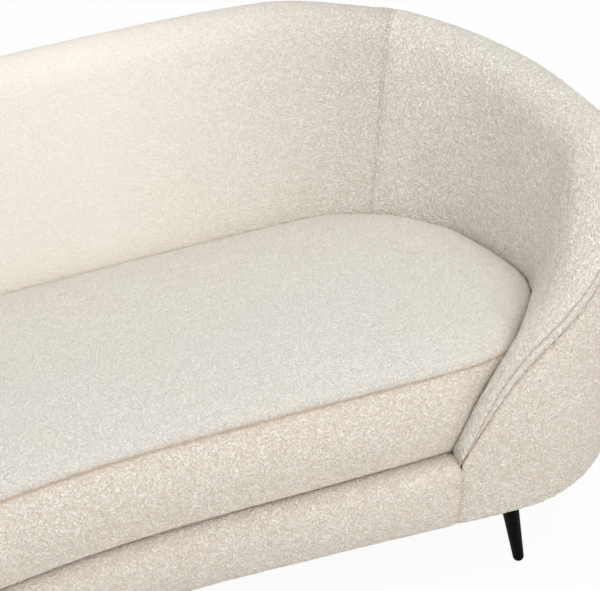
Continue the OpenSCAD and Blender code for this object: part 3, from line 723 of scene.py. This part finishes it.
def raw_wood(name, light, dark, stretch):
    """Unfinished board or batten, with its grain along X or Z by the stretch."""
    n = Nodes(name)
    stretched = n.stretched(stretch)
    grain = n.noise(140, detail=5.0, roughness=0.6, distortion=0.8, vector=stretched)
    rings = n.noise(22, distortion=2.0, vector=stretched)
    share = n.math("ADD", n.math("MULTIPLY", grain, 0.6), n.math("MULTIPLY", rings, 0.4))
    n.set(Base_Color=n.blend(n.span(share, 0.35, 0.65), colour(*dark), colour(*light)),
          Roughness=n.span(grain, *MOST, 0.6, 0.8))
    n.bump(grain, strength=0.4, distance=0.0005)
    return n.material


def plated_steel():
    """Zinc plate, clouded."""
    n = Nodes("zinc_plate")
    cloud = n.noise(90, detail=4.0, roughness=0.6, distortion=0.5)
    n.set(Base_Color=n.blend(n.span(cloud, *MOST), colour(165, 168, 172),
                             colour(196, 198, 200)),
          Metallic=1.0, Roughness=n.span(cloud, *MOST, 0.28, 0.45))
    n.bump(n.noise(900), strength=0.1, distance=0.0002)
    return n.material


def woven_cloth(name, dark, light, thread):
    """Plain weave with threads that wide, along X and Y."""
    n = Nodes(name)
    turns = math.pi / thread
    axes = n.add("ShaderNodeSeparateXYZ", {0: n.place}).outputs
    wave_x = n.math("SINE", n.math("MULTIPLY", axes[0], turns))
    wave_y = n.math("SINE", n.math("MULTIPLY", n.math("ADD", axes[1], axes[2]), turns))
    weave = n.math("MULTIPLY", wave_x, wave_y)
    uneven = n.noise(0.25 / thread, detail=3.0, roughness=0.6)
    height = n.math("ADD", n.math("MULTIPLY", weave, 0.4), uneven)
    n.set(Base_Color=n.blend(n.span(height, 0.2, 0.9), colour(*dark), colour(*light)),
          Roughness=0.9)
    n.bump(height, strength=0.6, distance=thread * 0.6)
    return n.material


# The inner wings' copy of the cloth is painted lighter than the back's, to make up for the shade
# that falls on them
CURLED_PAINTED_LIGHTER = looped_cloth("looped_cloth_wing_painted_lighter", 0.0036, (255, 252, 245), (227, 217, 201), 0.0036)
SMOOTH = looped_cloth("looped_cloth_back", 0.0036, (240, 235, 227), (205, 196, 182), 0.0034, 0.3)
NAP = looped_cloth("looped_cloth_seat", 0.0032, (236, 233, 226), (217, 211, 201), 0.0022)
FRONT = looped_cloth("looped_cloth_front", 0.0036, (247, 240, 230), (216, 203, 187), 0.0028)
LACQUER = lacquered_wood()
BOARD = raw_wood("board_wood", (214, 186, 142), (176, 140, 96), (0.05, 1, 1))
BATTEN = raw_wood("batten_wood", (205, 172, 126), (165, 128, 86), (1, 1, 0.05))
ZINC = plated_steel()
WEBBING = woven_cloth("webbing_cloth", (30, 30, 34), (74, 74, 80), 0.0016)
HESSIAN = woven_cloth("hessian_cloth", (120, 96, 62), (190, 162, 116), 0.0018)
DUST = woven_cloth("dust_cloth", (14, 14, 16), (36, 36, 40), 0.0007)


def finish_piece(obj, material, slot, *nodes):
    obj.data.materials.clear()
    obj.data.materials.append(material)
    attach(obj, "root")
    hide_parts(*nodes)


def upholstered(name, skin, material, nap, nodes, pressure=2.0, cap=0.008, fill=0.8):
    obj = skin.build(name)
    swell(obj, skin, pressure, cap)
    refine(obj, 2)
    dress(obj, nap)
    finish_piece(obj, material, "looped_fabric", *nodes)


# Shell: inner back and wings, outer back and sides

# Nap: size and height
WING_NAP = (0.011, 0.0011)
BACK_NAP = (0.011, 0.0006)
SEAT_NAP = (0.009, 0.0004)
INNER_ROWS, OUTER_ROWS, APRON_ROWS = 20, 22, 12
TIP_FILL, PLUG_DROP, PLUG_POWER = 0.05, 0.014, 0.3
FELLED_W = 0.020
FELLED_END = 0.075
FELLED_LEFT = 0.15
SHEET_DEPTH = 0.001
FLAT = {"pressure": 1.0, "cap": 0.004, "fill": 0.3}


def inner_ends(k):
    return -1, k.seam_u


def outer_ends(k):
    return k.seam_u, 5


def pad_depth(k):
    return k.r * PAD_SHARE


def tip_plug(s, k, back):
    """Fills the section towards the arm tip, so that its end is closed."""
    share = max(0, 1 - (S_TIP - abs(s)) / TIP_FILL)
    first, last = back[0], back[-1]
    full = [(mix(first[0], last[0], t),
             LEDGE_H - PLUG_DROP * math.sin(math.pi * t) ** PLUG_POWER)
            for t in spread(0, 1, len(back) - 1)[1:-1]]
    return [first] + [mix(p, np.array(q), share) for p, q in zip(back[1:-1], full)] + [last]


def cloth_depth(_):
    return SHEET_DEPTH


def felled_width(s):
    """Width of the felled strip under the rim: it runs out towards the arm tip."""
    left = max(0, S_TIP - abs(s)) / FELLED_END
    return FELLED_W * min(1, FELLED_LEFT + (1 - FELLED_LEFT) * left)


def mirrored(stations):
    return [-s for s in reversed(stations)]


def make_shell():
    wing = near_stations(S_SEAM + TOUCH / 2, S_TIP, NEAR_SEAM, NEAR_EDGE)
    back = near_stations(-S_SEAM, S_SEAM, NEAR_EDGE, NEAR_EDGE)
    for side, stations, joint in (("right", wing, 0), ("left", mirrored(wing), 1)):
        inner = Panel(stations, Section, inner_ends, INNER_ROWS, pad_depth, 1, joint,
                      felled=felled_width, plug=tip_plug)
        upholstered("inner_wing_" + side, inner.skin(), CURLED_PAINTED_LIGHTER, WING_NAP,
                    ("inner_wing_cover_" + side, "wing_pad_" + side))
        outer = Panel(stations, Section, outer_ends, OUTER_ROWS, cloth_depth, 0, joint,
                      NEAR_EDGE, low_near=NEAR_HEM)
        upholstered("outer_side_" + side, outer.skin(), FRONT, WING_NAP,
                    ("side_cover_" + side,), **FLAT)
    inner = Panel(back, Section, inner_ends, INNER_ROWS, pad_depth, 1, felled=felled_width)
    upholstered("inner_back", inner.skin(), SMOOTH, BACK_NAP, ("inner_back_cover", "back_pad"))
    outer = Panel(back, Section, outer_ends, OUTER_ROWS, cloth_depth, 0,
                  rim_near=NEAR_EDGE, low_near=NEAR_HEM)
    upholstered("outer_back", outer.skin(), FRONT, WING_NAP, ("outer_back_cover",), **FLAT)


# Seat cushion

CROWN_W = RIM_R * 7 / 4
SEAT_TOP = CROWN_H - 0.003
SEAT_RINGS = (0, 0.002, 0.005, 0.009, 0.015, 0.024, 0.037, 0.055, 0.078, 0.105, 0.135, 0.165)
ROUND_STATIONS = (0, 0.42, 0.52, 0.72, 0.76, 1)
ROUND_SHARES = (0, 0, 1, 1, 0, 0)
STEEP_POWER, ROUND_POWER = 4.6, 4.2
SEAT_HALF_COUNT, SEAT_COLUMNS, BASE_COLUMNS = 110, 20, 3
SEAT_LOW_Z = DECK_H + 0.004
SEAT_LIP = 0.006
# Inset and height of each row of the hidden sides
SEAT_SIDES = (
    (SEAT_LIP, SEAT_SEAM_H - SEAT_LIP), (0.008, mix(SEAT_LOW_Z, SEAT_SEAM_H, 0.5)),
    (0.012, SEAT_LOW_Z), (SEAT_RINGS[-1], SEAT_LOW_Z))


def crown(s, d):
    """Height of the seat's top at a distance from its seam; it falls more gently at the
    ends of the seat."""
    share = smooth(ROUND_STATIONS, ROUND_SHARES, half_station(s) / S_MID)
    x = min(1, d / CROWN_W)
    return mix(SEAT_SEAM_H + TOUCH, SEAT_TOP, 1 - (1 - x) ** mix(STEEP_POWER, ROUND_POWER, share))


def seat_ring(stations, d, height):
    return [at(s, -seat_inset(s) - TOUCH - d, height(s)) for s in stations]


def rung_fill(skin, ring, columns, z, held):
    """Closes a ring of 2n vertices with rungs from back to front at height z; ring[0] is
    the front middle on the left, ring[n] the back middle."""
    n = len(ring) // 2
    shared = None
    for side in (1, -1):
        def vertex(i):
            return ring[(n + side * i) % (2 * n)]
        rows = []
        for i in range(n // 2):
            if i == 0 and shared:
                rows.append(shared)
                continue
            a, b = vertex(i), vertex(n - i)
            pa, pb = np.array(skin.points[a]), np.array(skin.points[b])
            inner = [mix(pa, pb, t) for t in spread(0, 1, columns)[1:-1]]
            fill = skin.row([(p[0], p[1], z) for p in inner], held, edge=FAR if held else INSIDE)
            rows.append([a] + fill + [b])
        shared = shared or rows[0]
        for p, q in zip(rows, rows[1:]):
            skin.bridge(p, q)
        skin.faces.append(tuple(rows[-1] + [vertex(n // 2)]))


def make_seat():
    stations = spread(-S_MID, S_MID, 2 * SEAT_HALF_COUNT)[:-1]
    skin = Skin()
    top = [skin.row(seat_ring(stations, d, lambda s, d=d: crown(s, d)), d == 0, d == 0, edge=d)
           for d in SEAT_RINGS]
    for a, b in zip(top, top[1:]):
        skin.bridge(a, b, closed=True)
    rung_fill(skin, top[-1], SEAT_COLUMNS, SEAT_TOP, False)
    low = [skin.row(seat_ring(stations, d, lambda s, z=z: z), True) for d, z in SEAT_SIDES]
    for a, b in zip([top[0]] + low, low):
        skin.bridge(b, a, closed=True)
    rung_fill(skin, low[-1], BASE_COLUMNS, SEAT_LOW_Z, True)
    upholstered("seat_cushion", skin, NAP, SEAT_NAP, ("seat_cover", "seat_pad"),
                pressure=2.5, cap=0.012)


# Front band and apron

HALVINGS = 40


def find(f, lo, hi):
    """Where a rising value first passes zero."""
    for _ in range(HALVINGS):
        m = (lo + hi) / 2
        lo, hi = (lo, m) if f(m) > 0 else (m, hi)
    return lo


BAND_ROLL = 0.014
ROLL_END, ROLL_RUN = 0.15, 0.10
BAND_ROWS = 8
BAND_DEPTH, BAND_EDGE_DEPTH = 0.03, 0.008
BAND_BACK_SHARES = (0, 0.35, 0.7, 1)
BAND_BACK_DROP = 0.002
# Height over the ledge, depth and mark of each row round the rolled lower edge
UNDER_ROWS = ((BAND_ROLL - TOUCH - 0.006, 0.0015, 0.004), (0.002, 0.006, 0.002),
              (TOUCH, BAND_ROLL, 0))
BAND_ENDS_FROM = 0.8 * S_TIP


def make_band():
    """The band runs on behind the arms; at its ends its lower edge is rolled less."""
    skin, rows = Skin(), []
    low_z = LEDGE_H + BAND_ROLL
    zs = [SEAT_SEAM_H - TOUCH - x for x in near_rows(SEAT_SEAM_H - low_z, BAND_ROWS, NEAR_EDGE)]
    ends = [find(lambda s, z=z: z - Section(s).c[1], BAND_ENDS_FROM, S_TIP) for z in zs]
    length = 2 * (S_MID - ends[0])
    near_end = [x / length for x in NEAR_EDGE]
    columns = near_rows(1, round(length / CELL), near_end, near_end)
    for q in columns:
        at_end = q in (columns[0], columns[-1])
        places = [mix(end, 2 * S_MID - end, q) for end in ends]
        points = [at(s, -band_face(s, z), z) for s, z in zip(places, zs)]
        to_end = min(q, 1 - q) * length
        roll = min(1, ROLL_END + to_end / ROLL_RUN)
        s = places[-1]
        points += [at(s, -band_face(s, low_z) - d * roll, LEDGE_H + up)
                   for up, d, _ in UNDER_ROWS]
        edge = [min(SEAT_SEAM_H - z, to_end + SOFT) for z in zs] + [m for _, _, m in UNDER_ROWS]
        outer = [i in (0, len(points) - 1) or at_end for i in range(len(points))]
        front = skin.row(points, outer, outer, edge=edge)
        back = []
        for t in BAND_BACK_SHARES:
            j = round(mix(len(zs) - 1, 0, t))
            deep = BAND_DEPTH if 0 < t < 1 else BAND_EDGE_DEPTH
            place, z = places[j], zs[j]
            back.append(at(place, -band_face(place, z) - deep, z - BAND_BACK_DROP))
        rows.append(front + skin.row(back, True, at_end))
    skin.tube(rows)
    upholstered("front_band", skin, FRONT, SEAT_NAP, ("band_cover", "band_pad"), cap=0.006)


APRON_DEPTH = 0.006


def apron_depth(_):
    return APRON_DEPTH


def make_apron():
    start = S_TIP + TOUCH / 2
    stations = near_stations(start, 2 * S_MID - start, NEAR_EDGE, NEAR_EDGE)
    panel = Panel(stations, ApronSection, lambda k: (0, 5), APRON_ROWS, apron_depth,
                  low_near=NEAR_HEM)
    upholstered("apron", panel.skin(), FRONT, SEAT_NAP, ("apron_cover", "apron_pad"),
                pressure=1.0, cap=0.004)


# Webbing, hessian and dust cloth

def loose_parts(node):
    """Lowest and highest corner of each separate solid of a node."""
    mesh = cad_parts[node].data
    work = bmesh.new()
    work.from_mesh(mesh)
    bmesh.ops.remove_doubles(work, verts=work.verts, dist=1e-6)
    boxes, seen = [], set()
    for start in work.verts:
        if start in seen:
            continue
        seen.add(start)
        stack, found = [start], []
        while stack:
            v = stack.pop()
            found.append(tuple(v.co))
            for e in v.link_edges:
                other = e.other_vert(v)
                if other not in seen:
                    seen.add(other)
                    stack.append(other)
        points = np.array(found)
        boxes.append((points.min(0), points.max(0)))
    work.free()
    return boxes


STRAP_SIDES, STRAP_STEP = 20, 0.02
STRAP_CORNERS = (0.35, 0.8)
STRAP_WAVE, STRAP_WAVES = 0.004, 90
STRAP_FLAT = 0.96


def make_straps(name, node, run):
    """Webbing with rounded edges; run is 0 where it runs along X, and 1 along Y."""
    skin = Skin()
    cross = 1 - run
    for low, high in loose_parts(node):
        middle, half = (low + high) / 2, (high - low) / 2
        loop = []
        for a in spread(0, math.tau, STRAP_SIDES)[:-1]:
            loop.append([math.copysign(abs(x) ** power, x)
                         for x, power in zip((math.cos(a), math.sin(a)), STRAP_CORNERS)])
        rows = []
        for place in spread(low[run], high[run], round((high[run] - low[run]) / STRAP_STEP)):
            points = []
            for c, z in loop:
                p = np.zeros(3)
                p[run] = place
                wave = 1 - STRAP_WAVE * math.sin(place * STRAP_WAVES)
                p[cross] = middle[cross] + half[cross] * c * wave
                p[2] = middle[2] + half[2] * z * STRAP_FLAT
                points.append(p)
            rows.append(skin.row(points, False))
        for a, b in zip(rows, rows[1:]):
            skin.bridge(a, b, closed=True)
        skin.faces += [tuple(rows[0]), tuple(reversed(rows[-1]))]
    obj = skin.build(name)
    obj.data.shade_smooth()
    finish_piece(obj, WEBBING, "elastic_strap", node)


def thicken(obj, thickness):
    """Gives an open sheet its thickness."""
    solid = obj.modifiers.new("thick", "SOLIDIFY")
    solid.thickness, solid.offset = thickness, 0
    graph = bpy.context.evaluated_depsgraph_get()
    mesh = bpy.data.meshes.new_from_object(obj.evaluated_get(graph), depsgraph=graph)
    obj.modifiers.clear()
    mesh.name, obj.data = obj.name, mesh
    mesh.shade_smooth()


HESSIAN_SPAN = (0.05, 0.93)
HESSIAN_COLUMNS, HESSIAN_ROWS = 110, 22


def make_hessian():
    """Hessian stretched over the inner side of the ribs."""
    skin, grid = Skin(), []
    for s in spread(-S_SEAM + HEM_R, S_SEAM - HEM_R, HESSIAN_COLUMNS):
        k = Section(s)
        deep = CLOTH_T * 1.25 + 2 * EASE + PAD_SHARE * k.r
        grid.append([at(s, *shell_point(k, u, deep)) for u in spread(*HESSIAN_SPAN, HESSIAN_ROWS)])
    rows = [skin.row(points, False) for points in grid]
    for a, b in zip(rows, rows[1:]):
        skin.bridge(a, b)
    obj = skin.build("back_cloth")
    thicken(obj, CLOTH_T / 3)
    finish_piece(obj, HESSIAN, "hessian", "back_hessian")


LEG_HOLE_R = 0.022
DUST_INSET = HEM_R + FLANGE_W - EASE * 10
DUST_HALF_COUNT, DUST_COLUMNS = 90, 30
DUST_WAVES = 14


def make_dust_cloth():
    """Black cloth stapled under the body, with a hole for each leg."""
    skin = Skin()
    stations = spread(-S_MID, S_MID, 2 * DUST_HALF_COUNT)[:-1]
    z = LEG_H + DUST_T / 2
    ring = skin.row([at(s, -flare(s) - DUST_INSET, z) for s in stations], False)
    rung_fill(skin, ring, DUST_COLUMNS, z, False)
    obj = skin.build("dust_cloth")
    work = bmesh.new()
    work.from_mesh(obj.data)
    for end in ("front_left", "front_right", "rear_left", "rear_right"):
        leg = np.array([v.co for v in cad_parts["leg_" + end].data.vertices])
        hole = Vector(leg[leg[:, 2] > leg[:, 2].max() - EASE].mean(0)[:2])
        near = [e for e in work.edges if (e.verts[0].co.xy - hole).length < 4 * LEG_HOLE_R]
        bmesh.ops.subdivide_edges(work, edges=near, cuts=3, use_grid_fill=True)
        inside = [f for f in work.faces
                  if (f.calc_center_median().xy - hole).length < LEG_HOLE_R]
        bmesh.ops.delete(work, geom=inside, context="FACES")
        for v in work.verts:
            away = v.co.xy - hole
            if v.is_boundary and away.length < 2 * LEG_HOLE_R:
                v.co.xy = hole + away.normalized() * LEG_HOLE_R
    work.to_mesh(obj.data)
    work.free()
    for v in obj.data.vertices:
        v.co.z += DUST_T / 4 * noise.noise(v.co * DUST_WAVES)
    thicken(obj, DUST_T / 3)
    finish_piece(obj, DUST, "dust_cloth", "dust_cover")


make_shell()
make_seat()
make_band()
make_apron()
make_straps("seat_webbing", "seat_straps", 1)
make_straps("cross_webbing", "cross_straps", 0)
make_hessian()
make_dust_cloth()

# Materials of the solids that stay

for node_name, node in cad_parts.items():
    if node_name in ("leg_plates", "leg_bolts", "plate_screws"):
        look = ZINC
    elif "block" in node_name or "rib" in node_name:
        look = BATTEN
    elif node_name.startswith("leg_"):
        look = LACQUER
    else:
        look = BOARD
    node.data.materials.clear()
    node.data.materials.append(look)


# Floor, light and camera

FLOOR_SIZE = 40
FLOOR_WHITE = 0.95
WORLD_COLOUR = (0.99, 0.995, 1.0, 1)
WORLD_STRENGTH = 0.70
# Name, place, what it looks at, size and power
LAMPS = (
    ("key", (1.5, -3.1, 3.2), (0.4, 0, 0.4), (2.4, 2.0), 55),
    ("fill", (-1.6, -3.7, 2.6), (0.2, 0, 0.4), (2.4, 2.0), 26),
    ("top", (0.4, 0.1, 3.8), (0.4, 0, 0.4), (3.2, 2.2), 36))
LAMP_TINT = (1.0, 0.99, 0.98)
CAMERA_PLACE = (-1.309, -3.296, 2.772)
CAMERA_LOOK = (0.4176, 0.7381, -0.5299)
CAMERA_LENS, CAMERA_SENSOR = 150, 36


def make_floor():
    """Pale floor: what the camera and mirrors see of it is mostly plain white."""
    n = Nodes("pale_floor")
    cloud = n.noise(3.0, detail=3.0)
    n.set(Base_Color=n.blend(n.span(cloud, *MOST), colour(238, 238, 237),
                             colour(244, 244, 243)), Roughness=0.9)
    glow = n.add("ShaderNodeEmission", {"Color": (1, 1, 1, 1), "Strength": 1.0})
    path = n.add("ShaderNodeLightPath").outputs
    seen = n.math("MAXIMUM", path["Is Camera Ray"],
                  n.math("MAXIMUM", path["Is Glossy Ray"], path["Is Transmission Ray"]))
    both = n.add("ShaderNodeMixShader", {0: n.math("MULTIPLY", seen, FLOOR_WHITE)})
    n.plug(both.inputs[1], n.shader.outputs[0])
    n.plug(both.inputs[2], glow.outputs[0])
    n.plug(n.tree.nodes["Material Output"].inputs["Surface"], both.outputs[0])
    bpy.ops.mesh.primitive_plane_add(size=FLOOR_SIZE)
    floor = bpy.context.object
    floor.name = "floor"
    floor.data.materials.append(n.material)


def make_world():
    """Soft daylight from all round, and plain white to the camera."""
    world = bpy.data.worlds.new("studio")
    bpy.context.scene.world = world
    world.use_nodes = True
    nodes, links = world.node_tree.nodes, world.node_tree.links
    back = nodes["Background"]
    back.inputs["Color"].default_value = WORLD_COLOUR
    back.inputs["Strength"].default_value = WORLD_STRENGTH
    white = nodes.new("ShaderNodeBackground")
    white.inputs["Color"].default_value = (1, 1, 1, 1)
    path = nodes.new("ShaderNodeLightPath")
    either = nodes.new("ShaderNodeMath")
    either.operation = "MAXIMUM"
    share = nodes.new("ShaderNodeMixShader")
    links.new(path.outputs["Is Camera Ray"], either.inputs[0])
    links.new(path.outputs["Is Transmission Ray"], either.inputs[1])
    links.new(either.outputs[0], share.inputs[0])
    links.new(back.outputs[0], share.inputs[1])
    links.new(white.outputs[0], share.inputs[2])
    links.new(share.outputs[0], nodes["World Output"].inputs["Surface"])


def soft_light(name, place, target, size, power):
    light = bpy.data.lights.new(name, "AREA")
    light.shape = "RECTANGLE"
    light.size, light.size_y = size
    light.energy = power
    light.color = LAMP_TINT
    obj = bpy.data.objects.new(name, light)
    obj.location = place
    obj.rotation_euler = (Vector(target) - Vector(place)).to_track_quat("-Z", "Y").to_euler()
    bpy.context.scene.collection.objects.link(obj)


def make_camera():
    camera = bpy.data.cameras.new("camera")
    camera.lens = CAMERA_LENS
    camera.sensor_width = CAMERA_SENSOR
    obj = bpy.data.objects.new("camera", camera)
    obj.location = CAMERA_PLACE
    obj.rotation_euler = Vector(CAMERA_LOOK).to_track_quat("-Z", "Y").to_euler()
    bpy.context.scene.collection.objects.link(obj)
    bpy.context.scene.camera = obj


make_floor()
make_world()
for lamp in LAMPS:
    soft_light(*lamp)
make_camera()
bpy.context.scene.view_settings.view_transform = "Standard"
